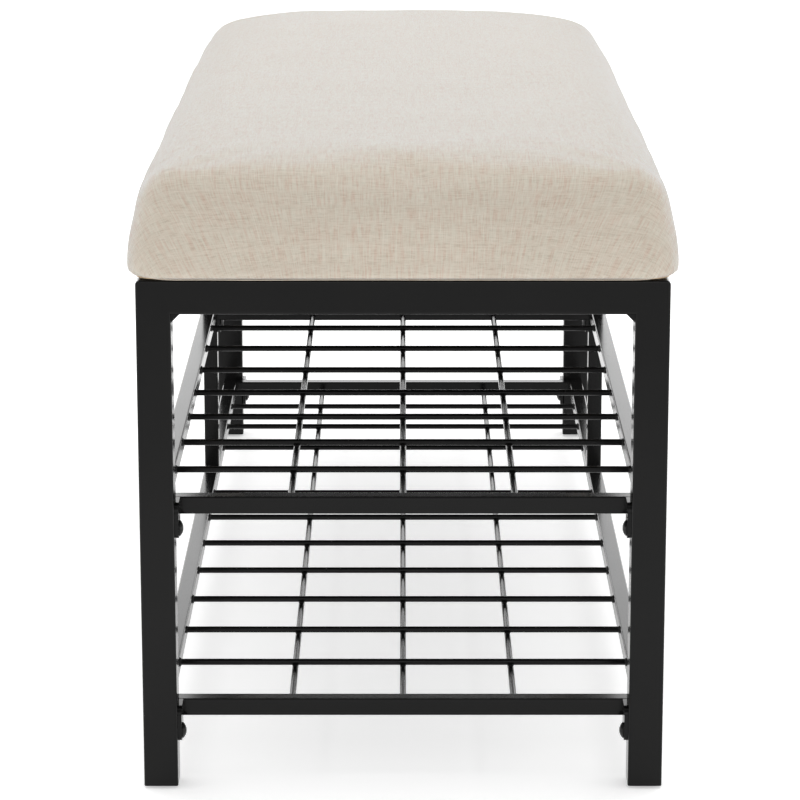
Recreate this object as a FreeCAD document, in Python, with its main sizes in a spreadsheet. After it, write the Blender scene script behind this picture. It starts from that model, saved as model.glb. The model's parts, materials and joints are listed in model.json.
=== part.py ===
import FreeCAD, Part
import math
import os
import re
import Sketcher

# Entryway bench: a padded seat on a welded square-tube frame, with a full-length lower shelf
# and a shorter upper shelf that leaves an open bay for boots at the far end.
# X runs along the bench and its near end is at +X, Y runs across it and right is at +Y, Z is up.
# The origin is on the floor, under the middle of the bench. All sizes are in millimetres.

NEAR, FAR = 1, -1
RIGHT, LEFT = 1, -1
END_NAMES = {NEAR: "near", FAR: "far"}
SIDE_NAMES = {LEFT: "left", RIGHT: "right"}
CORNERS = [(end, side) for end in (NEAR, FAR) for side in (LEFT, RIGHT)]

SIZES = [
    ("frame_length", 1086, "outside of the near legs to outside of the far legs"),
    ("frame_width", 386, "outside of the left legs to outside of the right legs"),
    ("frame_height", 387, "floor to the top of the seat frame"),
    ("leg_tube", 25.4, "side of the square tube of the legs and seat frame"),
    ("leg_wall", 1.5, "wall of that tube"),
    ("leg_edge", 2.0, "rounding of that tube's long edges"),
    ("frame_corner", 4.0, "rounding of the frame's top outer corners"),
    ("corner_weld", 6.4, "leg of the fillet weld inside each frame corner"),
    ("weld_inset", 2.5, "weld held back from the tube's faces"),
    ("glide_height", 2.0, "floor to the bottom of the legs"),
    ("glide_radius", 5.5, "glide's foot where it leaves the leg"),
    ("glide_flat", 4.0, "radius of the glide's flat underside"),
    ("glide_plug", 15.0, "depth of the glide's plug in the leg"),
    ("plug_clearance", 0.2, "gap between a plug and its tube, each side"),
    ("brace_tube", 20.0, "side of the seat frame's cross braces"),
    ("brace_wall", 1.2, "wall of the braces"),
    ("brace_spread", 180.0, "middle of the bench to each brace"),
    ("shelf_tube", 13.2, "side of the square tube of the shelves and posts"),
    ("shelf_wall", 1.2, "wall of that tube"),
    ("shelf_edge", 1.3, "rounding of that tube's long edges"),
    ("shelf_gap", 0.5, "gap between a shelf and its legs or posts"),
    ("lower_height", 61.7, "floor to the top of the lower shelf"),
    ("upper_height", 218.5, "floor to the top of the upper shelf"),
    ("upper_length", 680.3, "length of the upper shelf"),
    ("wire_radius", 2.5, "shelf wires"),
    ("wire_drop", 2.6, "rail top to the cross wires' centres"),
    ("wire_gap", 0.1, "gap between the two layers of wires"),
    ("wire_pitch", 83.0, "between cross wires"),
    ("wire_spread", 83.7, "between lengthwise wires"),
    ("lower_first_wire", 90.0, "near rail to the lower shelf's first cross wire"),
    ("upper_first_wire", 82.5, "near rail to the upper shelf's first cross wire"),
    ("last_wire", 60.0, "least distance from the last cross wire to the far rail"),
    ("tab_thickness", 3.0, "mounting tabs of the shelves"),
    ("tab_height", 27.0, "depth of a tab below its rail's top"),
    ("tab_margin", 8.8, "tab beyond its bolt's axis"),
    ("tab_corner", 7.0, "rounding of a tab's free corners"),
    ("bolt_drop", 20.0, "shelf top to the bolts' axes"),
    ("bolt_radius", 3.0, "M6 bolts"),
    ("bolt_hole", 3.3, "radius of a clearance hole for an M6 bolt"),
    ("bolt_length", 11.0, "shelf bolt under its head"),
    ("head_radius", 5.9, "domed bolt head"),
    ("head_height", 3.2, "domed bolt head"),
    ("head_rim", 0.8, "straight rim under the dome"),
    ("socket_radius", 2.3, "hexagon socket, across corners"),
    ("socket_depth", 1.8, "hexagon socket"),
    ("nut_radius", 4.5, "rivet nuts in the legs and posts"),
    ("leg_nut_length", 12.0, "rivet nut in a leg"),
    ("post_nut_length", 9.0, "rivet nut in a post"),
    ("thread_clearance", 0.1, "bolt to the bore that it screws into"),
    ("nut_clearance", 0.1, "nut to the hole that it is set in"),
    ("spigot_radius", 4.0, "round spigot on top of a post"),
    ("spigot_height", 6.0, "spigot above the post"),
    ("post_plug", 14.0, "depth of the plugs in a post"),
    ("foot_bolt_radius", 2.5, "M5 bolts under the posts"),
    ("foot_bolt_hole", 2.7, "clearance hole for an M5 bolt"),
    ("foot_bolt_grip", 11.0, "foot bolt inside its plug"),
    ("seat_overhang", 7.0, "cushion beyond the frame, each side"),
    ("cushion_height", 80.0, "underside of the seat to its top"),
    ("cushion_corner", 22.0, "rounding of the cushion's corners in plan"),
    ("cushion_shoulder", 20.0, "rounding of the cushion's top edges"),
    ("cushion_foot", 7.0, "rounding of the cushion's bottom edges"),
    ("cover_skin", 2.0, "cover and its wadding"),
    ("hem_thickness", 1.0, "cover turned under the board"),
    ("hem_width", 45.0, "width of the turned-under hem"),
    ("board_thickness", 12.0, "plywood seat board"),
    ("board_inset", 7.0, "cushion's side to the board's edge"),
    ("foam_clearance", 0.2, "foam to the cover"),
    ("dust_clearance", 2.0, "dust cover to the hem"),
    ("seat_bolt_inset", 120.0, "frame's end to the end seat bolts"),
    ("seat_bolt_grip", 9.0, "seat bolt above the hem"),
    ("tee_nut_radius", 4.0, "barrel of the tee nuts"),
    ("tee_nut_flange", 9.5, "flange of the tee nuts"),
    ("tee_flange_height", 1.2, "flange of the tee nuts"),
]
ALIASES = {name for name, size, note in SIZES}

# Formulas that several pieces share.
LEG_X = "((frame_length - leg_tube) / 2)"
LEG_Y = "((frame_width - leg_tube) / 2)"
LEG_BORE = "(leg_tube - 2 * leg_wall)"
POST_BORE = "(shelf_tube - 2 * shelf_wall)"
SHELF_NEAR_X = "(frame_length / 2 - leg_tube - shelf_gap)"
LOWER_FAR_X = "(0 - frame_length / 2 + leg_tube + shelf_gap)"
UPPER_FAR_X = f"({SHELF_NEAR_X} - upper_length)"
POST_X = f"({UPPER_FAR_X} - shelf_gap - shelf_tube / 2)"
INNER_RAIL_Y = f"({LEG_Y} - shelf_tube / 2)"
INNER_LEG_Y = f"({LEG_Y} - leg_tube / 2)"
SEAT_RAIL_BOTTOM = "(frame_height - leg_tube)"
CUSHION_LENGTH = "(frame_length + 2 * seat_overhang)"
CUSHION_WIDTH = "(frame_width + 2 * seat_overhang)"

ALONG_X = FreeCAD.Rotation(FreeCAD.Vector(0, 1, 0), 90)
ALONG_Y = FreeCAD.Rotation(FreeCAD.Vector(1, 0, 0), -90)
UPRIGHT = FreeCAD.Rotation()
UPSIDE_DOWN = FreeCAD.Rotation(FreeCAD.Vector(1, 0, 0), 180)

doc = FreeCAD.newDocument("EntrywayBench")
sheet = doc.addObject("Spreadsheet::Sheet", "Sizes")
for row, (name, size, note) in enumerate(SIZES, start=1):
    sheet.set(f"A{row}", name)
    sheet.set(f"B{row}", str(size))
    sheet.set(f"C{row}", note)
    sheet.setAlias(f"B{row}", name)
doc.recompute()

nodes = {}


# Tools for sizes, sketches and features.

def formula(text):
    """Put the sheet's name before each size in a formula."""
    return re.sub(r"[a-z]\w*", lambda word: f"Sizes.{word[0]}" if word[0] in ALIASES else word[0], text)


def value(text):
    """The number that a formula gives now."""
    return float(doc.Sizes.evalExpression(formula(text)))


def bind(thing, **formulas):
    """Bind an object's properties to formulas on the sheet."""
    for name, text in formulas.items():
        thing.setExpression(name, formula(text))


def place(thing, x="0", y="0", z="0", turn=UPRIGHT):
    """Put an object at a point of the bench, turned one way."""
    thing.Placement = FreeCAD.Placement(FreeCAD.Vector(0, 0, 0), turn)
    for axis, text in (("x", x), ("y", y), ("z", z)):
        thing.setExpression(f"Placement.Base.{axis}", formula(text))
    return thing


def new_body(label):
    """An empty body with a label of its own."""
    body = doc.addObject("PartDesign::Body", label)
    body.Label = label
    return body


def new_sketch(body, name, plane):
    """A sketch on one of the body's own origin planes."""
    sketch = body.newObject("Sketcher::SketchObject", f"{body.Name}_{name}")
    base = next(item for item in body.Origin.OriginFeatures if item.Role == plane)
    sketch.AttachmentSupport = [(base, "")]
    sketch.MapMode = "FlatFace"
    return sketch


def pin_point(sketch, geometry, end, x, y):
    """Hold one end of a line, or a centre, at two formulas from the sketch's origin."""
    for kind, text in (("DistanceX", x), ("DistanceY", y)):
        index = sketch.addConstraint(Sketcher.Constraint(kind, geometry, end, value(text)))
        sketch.setExpression(f"Constraints[{index}]", formula(text))


def polygon(body, name, plane, points):
    """A sketch of one closed outline with straight sides, each corner given by two formulas."""
    sketch = new_sketch(body, name, plane)
    spots = [FreeCAD.Vector(value(x), value(y), 0) for x, y in points]
    for start, finish in zip(spots, spots[1:] + spots[:1]):
        sketch.addGeometry(Part.LineSegment(start, finish))
    for index, (x, y) in enumerate(points):
        previous = (index - 1) % len(points)
        sketch.addConstraint(Sketcher.Constraint("Coincident", previous, 2, index, 1))
        pin_point(sketch, index, 1, x, y)
    return sketch


def rectangle(body, name, plane, width, depth, x="0", y="0"):
    """A sketch of one rectangle, given by its sides and its middle."""
    left, right = f"{x} - {width} / 2", f"{x} + {width} / 2"
    low, high = f"{y} - {depth} / 2", f"{y} + {depth} / 2"
    return polygon(body, name, plane, [(left, low), (right, low), (right, high), (left, high)])


def circles(body, name, plane, radius, centres):
    """A sketch of equal circles."""
    sketch = new_sketch(body, name, plane)
    for index, (x, y) in enumerate(centres):
        middle = FreeCAD.Vector(value(x), value(y), 0)
        sketch.addGeometry(Part.Circle(middle, FreeCAD.Vector(0, 0, 1), value(radius)))
        pin_point(sketch, index, 3, x, y)
        size = sketch.addConstraint(Sketcher.Constraint("Radius", index, value(radius)))
        sketch.setExpression(f"Constraints[{size}]", formula(radius))
    return sketch


def pad(body, sketch, length, backwards=False):
    """Raise a sketch into a solid."""
    feature = body.newObject("PartDesign::Pad", f"{sketch.Name}_pad")
    feature.Profile = sketch
    feature.Reversed = backwards
    bind(feature, Length=length)
    doc.recompute()
    return feature


def pocket(body, sketch, length=None, backwards=False):
    """Cut a sketch out of a body, to a depth or both ways through everything."""
    before = body.Shape.Volume
    feature = body.newObject("PartDesign::Pocket", f"{sketch.Name}_cut")
    feature.Profile = sketch
    feature.Reversed = backwards
    if length is None:
        feature.Type = "ThroughAll"
        feature.Midplane = True
    else:
        bind(feature, Length=length)
    doc.recompute()
    if body.Shape.Volume >= before:
        raise RuntimeError(f"{sketch.Name} cuts nothing")
    return feature


def fillet(body, name, radius, chosen):
    """Round the edges of a body's latest feature for which chosen(edge) is true."""
    base = body.Tip
    edges = [f"Edge{number}" for number, edge in enumerate(base.Shape.Edges, start=1) if chosen(edge)]
    feature = body.newObject("PartDesign::Fillet", f"{body.Name}_{name}")
    feature.Base = (base, edges)
    bind(feature, Radius=radius)
    doc.recompute()
    return feature


def is_upright(edge):
    """True for a straight edge along the body's own Z."""
    return edge.BoundBox.XLength + edge.BoundBox.YLength < 1e-4


def cylinder(name, radius, length, x="0", y="0", z="0", turn=UPRIGHT):
    """A round bar."""
    bar = doc.addObject("Part::Cylinder", name)
    bind(bar, Radius=radius, Height=length)
    return place(bar, x, y, z, turn)


def boolean(kind, name, base, tool):
    """A Part::Cut, Part::Fuse or Part::Common of two objects."""
    result = doc.addObject(kind, name)
    result.Base = base
    result.Tool = tool
    return result


def keep(label, thing):
    """Name a finished sub-part."""
    thing.Label = label
    nodes[label] = thing
    return thing


def keep_group(label, members):
    """Name a set of identical pieces that share one node."""
    group = doc.addObject("Part::Compound", label)
    group.Links = members
    return keep(label, group)


# Steel tube.

def tube(label, section, wall, edge, length):
    """Square tube, standing on the middle of its own XY plane."""
    body = new_body(label)
    pad(body, rectangle(body, "outside", "XY_Plane", section, section), length)
    fillet(body, "edges", edge, is_upright)
    bore = f"({section} - 2 * {wall})"
    pocket(body, rectangle(body, "bore", "XY_Plane", bore, bore))
    return keep(label, body)


def leg_section(label, length):
    """Tube of the legs and the seat frame."""
    return tube(label, "leg_tube", "leg_wall", "leg_edge", length)


def shelf_section(label, length):
    """Tube of the shelves and posts."""
    return tube(label, "shelf_tube", "shelf_wall", "shelf_edge", length)


def round_corner(body, name, x, y, inward_x, inward_y):
    """Round a corner of the frame that shows in the body's YZ plane."""
    sketch = new_sketch(body, name, "YZ_Plane")
    across_x, down_y = f"{x} + {inward_x} * frame_corner", f"{y} + {inward_y} * frame_corner"
    corner = FreeCAD.Vector(value(x), value(y), 0)
    along = FreeCAD.Vector(value(across_x), value(y), 0)
    down = FreeCAD.Vector(value(x), value(down_y), 0)
    centre = along + down - corner
    middle = centre + (corner - centre) * math.sqrt(0.5)
    sketch.addGeometry(Part.LineSegment(along, corner))
    sketch.addGeometry(Part.LineSegment(corner, down))
    turns_left = (down - centre).cross(along - centre).z > 0
    sketch.addGeometry(Part.Arc(down, middle, along) if turns_left else Part.Arc(along, middle, down))
    down_end = 1 if turns_left else 2
    sketch.addConstraint(Sketcher.Constraint("Coincident", 0, 2, 1, 1))
    sketch.addConstraint(Sketcher.Constraint("Coincident", 1, 2, 2, down_end))
    sketch.addConstraint(Sketcher.Constraint("Coincident", 0, 1, 2, 3 - down_end))
    pin_point(sketch, 0, 1, across_x, y)
    pin_point(sketch, 0, 2, x, y)
    pin_point(sketch, 1, 2, x, down_y)
    size = sketch.addConstraint(Sketcher.Constraint("Radius", 2, value("frame_corner")))
    sketch.setExpression(f"Constraints[{size}]", formula("frame_corner"))
    return pocket(body, sketch)


# Frame: two welded end frames, joined by the seat rails and braces.

def shelf_mounts():
    """Heights of the four rows of shelf bolts, as formulas."""
    return {"lower": "(lower_height - bolt_drop)", "upper": "(upper_height - bolt_drop)"}


def leg(end, side):
    """Leg of an end frame, mitred to its rail at the top and bored for the shelf bolts' nuts."""
    length = "(frame_height - glide_height)"
    body = leg_section(f"leg_{END_NAMES[end]}_{SIDE_NAMES[side]}", length)
    inner, outer = f"{-side} * leg_tube / 2", f"{side} * leg_tube / 2"
    mitre = [(inner, length), (inner, f"{length} - leg_tube"), (outer, length)]
    pocket(body, polygon(body, "mitre", "YZ_Plane", mitre))
    round_corner(body, "corner", outer, length, -side, -1)
    heights = shelf_mounts()
    levels = ["lower", "upper"] if end == NEAR else ["lower"]
    centres = [("0", f"{heights[level]} - glide_height") for level in levels]
    holes = circles(body, "nut_holes", "XZ_Plane", "(nut_radius + nut_clearance)", centres)
    pocket(body, holes, "leg_tube", backwards=side == RIGHT)
    place(body, f"{end} * {LEG_X}", f"{side} * {LEG_Y}", "glide_height")


def end_rail(end):
    """Top rail of an end frame, mitred to both legs."""
    body = leg_section(f"end_rail_{END_NAMES[end]}", "frame_width")
    top, bottom = "(0 - leg_tube / 2)", "(leg_tube / 2)"
    left_mitre = [(top, "0"), (bottom, "0"), (bottom, "leg_tube")]
    right_mitre = [(top, "frame_width"), (bottom, "frame_width"), (bottom, "frame_width - leg_tube")]
    pocket(body, polygon(body, "left_mitre", "YZ_Plane", left_mitre))
    pocket(body, polygon(body, "right_mitre", "YZ_Plane", right_mitre))
    round_corner(body, "left_corner", top, "0", 1, 1)
    round_corner(body, "right_corner", top, "frame_width", 1, -1)
    place(body, f"{end} * {LEG_X}", "0 - frame_width / 2", "frame_height - leg_tube / 2", ALONG_Y)


def corner_weld(end, side):
    """Fillet weld inside a top corner of an end frame."""
    body = new_body(f"corner_weld_{END_NAMES[end]}_{SIDE_NAMES[side]}")
    outline = [("0", "0"), (f"{-side} * corner_weld", "0"), ("0", "0 - corner_weld")]
    pad(body, polygon(body, "section", "YZ_Plane", outline), "(leg_tube - 2 * weld_inset)")
    place(body, f"{end} * {LEG_X} - leg_tube / 2 + weld_inset", f"{side} * {INNER_LEG_Y}", SEAT_RAIL_BOTTOM)
    keep(body.Label, body)


def seat_bolt_places():
    """Distances of the seat bolts along the bench, as formulas."""
    end = "(frame_length / 2 - seat_bolt_inset)"
    return [f"(0 - {end})", "0", end]


def seat_rail(side):
    """Long rail of the seat frame, bored for the seat bolts and for the spigot of its post."""
    length = "(frame_length - 2 * leg_tube)"
    body = leg_section(f"seat_rail_{SIDE_NAMES[side]}", length)
    bolt_holes = [("0", f"{x} + {length} / 2") for x in seat_bolt_places()]
    pocket(body, circles(body, "bolt_holes", "YZ_Plane", "bolt_hole", bolt_holes))
    spigot_hole = [("0", f"{POST_X} + {length} / 2")]
    radius = "(spigot_radius + plug_clearance)"
    pocket(body, circles(body, "spigot_hole", "YZ_Plane", radius, spigot_hole), "leg_tube", backwards=True)
    place(body, f"0 - {length} / 2", f"{side} * {LEG_Y}", "frame_height - leg_tube / 2", ALONG_X)


def brace(end):
    """Cross brace under the seat board."""
    length = f"(2 * {INNER_LEG_Y})"
    body = tube(f"seat_brace_{END_NAMES[end]}", "brace_tube", "brace_wall", "shelf_edge", length)
    place(body, f"{end} * brace_spread", f"0 - {INNER_LEG_Y}", "frame_height - brace_tube / 2", ALONG_Y)


def glide(end, side):
    """Moulded glide: a square plug in the leg and a low foot with a flat underside."""
    name = f"glide_{END_NAMES[end]}_{SIDE_NAMES[side]}"
    width = f"({LEG_BORE} - 2 * plug_clearance)"
    plug = doc.addObject("Part::Box", f"{name}_plug")
    bind(plug, Length=width, Width=width, Height="glide_plug")
    place(plug, f"0 - {width} / 2", f"0 - {width} / 2", "glide_height")
    foot = doc.addObject("Part::Cone", f"{name}_foot")
    bind(foot, Radius1="glide_flat", Radius2="glide_radius", Height="glide_height")
    whole = keep(name, boolean("Part::Fuse", name, plug, foot))
    place(whole, f"{end} * {LEG_X}", f"{side} * {LEG_Y}")


# Fasteners.

def bolt(name, radius, length):
    """Domed bolt with a hexagon socket: its head stands on its own XY plane, its shank points down."""
    shank = cylinder(f"{name}_shank", radius, length, z=f"0 - {length}")
    rise = "(head_height - head_rim)"
    dome_radius = f"((head_radius * head_radius + {rise} * {rise}) / (2 * {rise}))"
    blank = cylinder(f"{name}_blank", "head_radius", "head_height")
    dome = doc.addObject("Part::Sphere", f"{name}_dome")
    bind(dome, Radius=dome_radius)
    place(dome, z=f"head_height - {dome_radius}")
    head = boolean("Part::Common", f"{name}_head", blank, dome)
    socket = doc.addObject("Part::Prism", f"{name}_socket")
    socket.Polygon = 6
    bind(socket, Circumradius="socket_radius", Height="socket_depth")
    place(socket, z="head_height - socket_depth")
    return boolean("Part::Cut", name, boolean("Part::Fuse", f"{name}_solid", shank, head), socket)


def sleeve(name, radius, bore, length):
    """Threaded sleeve, standing on its own XY plane."""
    outside = cylinder(f"{name}_outside", radius, length)
    inside = cylinder(f"{name}_inside", bore, length)
    return boolean("Part::Cut", name, outside, inside)


def across(side):
    """Turn that points an object's own Z towards the bench's middle line, from one side of it."""
    return FreeCAD.Rotation(FreeCAD.Vector(1, 0, 0), 90 * side)


# Shelves: a closed rectangle of tube, two layers of wire, and a bolted tab at each corner.

def shelf_rails(level, far_x, top):
    """The four tubes of a shelf's rectangle."""
    length = f"({SHELF_NEAR_X} - {far_x})"
    for side in (LEFT, RIGHT):
        body = shelf_section(f"{level}_rail_{SIDE_NAMES[side]}", length)
        if level == "lower":
            hole = circles(body, "foot_hole", "YZ_Plane", "foot_bolt_hole", [("0", f"{POST_X} - {far_x}")])
            pocket(body, hole)
        place(body, far_x, f"{side} * {LEG_Y}", f"{top} - shelf_tube / 2", ALONG_X)
    ends = {NEAR: f"{SHELF_NEAR_X} - shelf_tube / 2", FAR: f"{far_x} + shelf_tube / 2"}
    for end, x in ends.items():
        body = shelf_section(f"{level}_end_{END_NAMES[end]}", f"(2 * {INNER_RAIL_Y})")
        place(body, x, f"0 - {INNER_RAIL_Y}", f"{top} - shelf_tube / 2", ALONG_Y)


def shelf_wires(level, far_x, top, first_wire):
    """The wires that carry the load: short ones across, on three long ones."""
    span = f"({SHELF_NEAR_X} - {far_x} - shelf_tube)"
    height = f"{top} - wire_drop"
    reach = f"2 * {INNER_RAIL_Y}"
    steps = math.floor(value(f"({span} - {first_wire} - last_wire) / wire_pitch"))
    cross = []
    for step in range(steps + 1):
        x = f"{SHELF_NEAR_X} - shelf_tube / 2 - {first_wire} - {step} * wire_pitch"
        name = f"{level}_cross_{step + 1}"
        cross.append(cylinder(name, "wire_radius", reach, x, f"0 - {INNER_RAIL_Y}", height, ALONG_Y))
    keep_group(f"{level}_cross_wires", cross)
    low = f"{height} - 2 * wire_radius - wire_gap"
    long = []
    for step in (-1, 0, 1):
        name = f"{level}_long_{step + 2}"
        x, y = f"{far_x} + shelf_tube", f"{step} * wire_spread"
        long.append(cylinder(name, "wire_radius", f"{span} - shelf_tube", x, y, low, ALONG_X))
    keep_group(f"{level}_long_wires", long)


def shelf_tab(label, outward, side, reach, x, inner_face, top):
    """Flat tab on a shelf's end rail, against the inner face of a leg or post."""
    body = new_body(label)
    length = f"({reach} + tab_margin)"
    middle = f"{outward} * {length} / 2"
    pad(body, rectangle(body, "plate", "XZ_Plane", length, "tab_height", middle, "0 - tab_height / 2"),
        "tab_thickness", backwards=side == LEFT)
    free_end = value(f"{outward} * {length}")

    def is_free_corner(edge):
        box = edge.BoundBox
        level = box.XLength + box.ZLength < 1e-4
        return level and abs(box.Center.x - free_end) < 0.01

    fillet(body, "corner", "tab_corner", is_free_corner)
    hole = circles(body, "bolt_hole", "XZ_Plane", "bolt_hole", [(f"{outward} * {reach}", "0 - bolt_drop")])
    pocket(body, hole)
    place(body, x, f"{side} * {inner_face}", top)
    keep(label, body)


def shelf_corner(level, end, side, far_x, top):
    """Tab, bolt and rivet nut of one corner of a shelf: returns the bolt and the nut."""
    on_post = level == "upper" and end == FAR
    support = "shelf_tube" if on_post else "leg_tube"
    inner_face = INNER_RAIL_Y if on_post else INNER_LEG_Y
    reach = f"(shelf_gap + {support} / 2)"
    face_x = SHELF_NEAR_X if end == NEAR else far_x
    tag = f"{level}_{END_NAMES[end]}_{SIDE_NAMES[side]}"
    shelf_tab(f"tab_{tag}", end, side, reach, face_x, inner_face, top)
    x, z = f"{face_x} + {end} * {reach}", f"{top} - bolt_drop"
    screw = bolt(f"bolt_{tag}", "bolt_radius", "bolt_length")
    place(screw, x, f"{side} * ({inner_face} - tab_thickness)", z, across(side))
    length = "post_nut_length" if on_post else "leg_nut_length"
    nut = sleeve(f"nut_{tag}", "nut_radius", "(bolt_radius + thread_clearance)", length)
    place(nut, x, f"{side} * ({inner_face} + {length})", z, across(side))
    return screw, nut


def shelf(level, far_x, top, first_wire):
    """A whole shelf with its fixings."""
    shelf_rails(level, far_x, top)
    shelf_wires(level, far_x, top, first_wire)
    fixings = [shelf_corner(level, end, side, far_x, top) for end, side in CORNERS]
    keep_group(f"{level}_shelf_bolts", [screw for screw, nut in fixings])
    keep_group(f"{level}_shelf_nuts", [nut for screw, nut in fixings])


# Posts: they stand on the lower shelf's rails and carry the upper shelf's far end.

def post(side):
    """Post from the lower shelf to the seat frame, bored for its rivet nut."""
    length = f"({SEAT_RAIL_BOTTOM} - lower_height)"
    body = shelf_section(f"post_{SIDE_NAMES[side]}", length)
    centre = [("0", "upper_height - bolt_drop - lower_height")]
    hole = circles(body, "nut_hole", "XZ_Plane", "(nut_radius + nut_clearance)", centre)
    pocket(body, hole, "shelf_tube", backwards=side == RIGHT)
    place(body, POST_X, f"{side} * {LEG_Y}", "lower_height")


def post_plug(name, height):
    """Square plug that fits inside a post."""
    width = f"({POST_BORE} - 2 * plug_clearance)"
    plug = doc.addObject("Part::Box", name)
    bind(plug, Length=width, Width=width, Height=height)
    return place(plug, f"0 - {width} / 2", f"0 - {width} / 2")


def post_fixings():
    """Spigots at the posts' heads, and threaded plugs and bolts at their feet."""
    heads, feet, bolts = [], [], []
    for side in (LEFT, RIGHT):
        tag = SIDE_NAMES[side]
        y = f"{side} * {LEG_Y}"
        spigot = cylinder(f"spigot_{tag}", "spigot_radius", "post_plug + spigot_height")
        head = boolean("Part::Fuse", f"post_head_{tag}", post_plug(f"head_plug_{tag}", "post_plug"), spigot)
        heads.append(place(head, POST_X, y, f"{SEAT_RAIL_BOTTOM} - post_plug"))
        bore = cylinder(f"foot_bore_{tag}", "(foot_bolt_radius + thread_clearance)", "post_plug")
        foot = boolean("Part::Cut", f"post_foot_{tag}", post_plug(f"foot_plug_{tag}", "post_plug"), bore)
        feet.append(place(foot, POST_X, y, "lower_height"))
        screw = bolt(f"foot_bolt_{tag}", "foot_bolt_radius", "(shelf_tube + foot_bolt_grip)")
        bolts.append(place(screw, POST_X, y, "lower_height - shelf_tube", UPSIDE_DOWN))
    keep_group("post_head_plugs", heads)
    keep_group("post_foot_plugs", feet)
    keep_group("post_foot_bolts", bolts)


# Seat: plywood board, foam, upholstered cover and dust cover, bolted to the seat rails.

def rounded_block(name, length, width, height, plan, shoulder, foot=None):
    """Block with rounded corners, a rounded top edge and, if asked, a rounded bottom edge."""
    body = new_body(name)
    pad(body, rectangle(body, "plan", "XY_Plane", length, width), height)
    fillet(body, "plan_corners", plan, is_upright)

    def is_rim(level):
        return lambda edge: edge.BoundBox.ZLength < 1e-4 and abs(edge.BoundBox.Center.z - level) < 1e-4

    fillet(body, "shoulder", shoulder, is_rim(value(height)))
    if foot:
        fillet(body, "foot", foot, is_rim(0))
    return body


def seat_bolt_spots():
    """Middles of the seat bolts in plan, as formulas."""
    return [(x, f"{side} * {LEG_Y}") for side in (LEFT, RIGHT) for x in seat_bolt_places()]


def seat_board():
    """Plywood board, bored and sunk for its tee nuts."""
    body = new_body("seat_board")
    length, width = f"({CUSHION_LENGTH} - 2 * board_inset)", f"({CUSHION_WIDTH} - 2 * board_inset)"
    pad(body, rectangle(body, "plan", "XY_Plane", length, width), "board_thickness")
    fillet(body, "corners", "(cushion_corner - board_inset)", is_upright)
    barrels = circles(body, "barrels", "XY_Plane", "(tee_nut_radius + nut_clearance)", seat_bolt_spots())
    pocket(body, barrels)
    flanges = circles(body, "flanges", "XY_Plane", "(tee_nut_flange + nut_clearance)", seat_bolt_spots())
    bind(flanges, **{"AttachmentOffset.Base.z": "board_thickness"})
    pocket(body, flanges, "(tee_flange_height + nut_clearance)")
    place(body, z="frame_height + hem_thickness")
    keep("seat_board", body)


def seat_foam():
    """Foam on the board, filling the cover."""
    inset = "(cover_skin + foam_clearance)"
    length, width = f"({CUSHION_LENGTH} - 2 * {inset})", f"({CUSHION_WIDTH} - 2 * {inset})"
    height = f"(cushion_height - hem_thickness - board_thickness - {inset})"
    body = rounded_block("seat_foam", length, width, height,
                         f"(cushion_corner - {inset})", f"(cushion_shoulder - {inset})")
    place(body, z="frame_height + hem_thickness + board_thickness")
    keep("seat_foam", body)


def seat_cover():
    """Fabric cover with its wadding, turned under the board and bored for the seat bolts."""
    outside = rounded_block("cover_outside", CUSHION_LENGTH, CUSHION_WIDTH, "cushion_height",
                            "cushion_corner", "cushion_shoulder", "cushion_foot")
    inner_length, inner_width = f"({CUSHION_LENGTH} - 2 * cover_skin)", f"({CUSHION_WIDTH} - 2 * cover_skin)"
    inner_height = "(cushion_height - hem_thickness - cover_skin)"
    inside = rounded_block("cover_inside", inner_length, inner_width, inner_height,
                           "(cushion_corner - cover_skin)", "(cushion_shoulder - cover_skin)",
                           "(cushion_foot - cover_skin)")
    place(inside, z="hem_thickness")
    window = doc.addObject("Part::Box", "hem_window")
    length, width = f"({CUSHION_LENGTH} - 2 * hem_width)", f"({CUSHION_WIDTH} - 2 * hem_width)"
    bind(window, Length=length, Width=width, Height="hem_thickness")
    place(window, f"0 - {length} / 2", f"0 - {width} / 2")
    holes = [cylinder(f"hem_hole_{number}", "bolt_hole", "hem_thickness", x, y)
             for number, (x, y) in enumerate(seat_bolt_spots(), start=1)]
    hole_group = doc.addObject("Part::Compound", "hem_holes")
    hole_group.Links = holes
    skin = boolean("Part::Cut", "cover_skin_shell", outside, inside)
    framed = boolean("Part::Cut", "cover_with_window", skin, window)
    cover = boolean("Part::Cut", "seat_cover", framed, hole_group)
    place(cover, z="frame_height")
    keep("seat_cover", cover)


def dust_cover():
    """Thin black cloth that closes the underside of the seat."""
    sheet_box = doc.addObject("Part::Box", "dust_cover")
    inset = "(hem_width + dust_clearance)"
    length, width = f"({CUSHION_LENGTH} - 2 * {inset})", f"({CUSHION_WIDTH} - 2 * {inset})"
    bind(sheet_box, Length=length, Width=width, Height="hem_thickness")
    place(sheet_box, f"0 - {length} / 2", f"0 - {width} / 2", "frame_height")
    keep("dust_cover", sheet_box)


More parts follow.
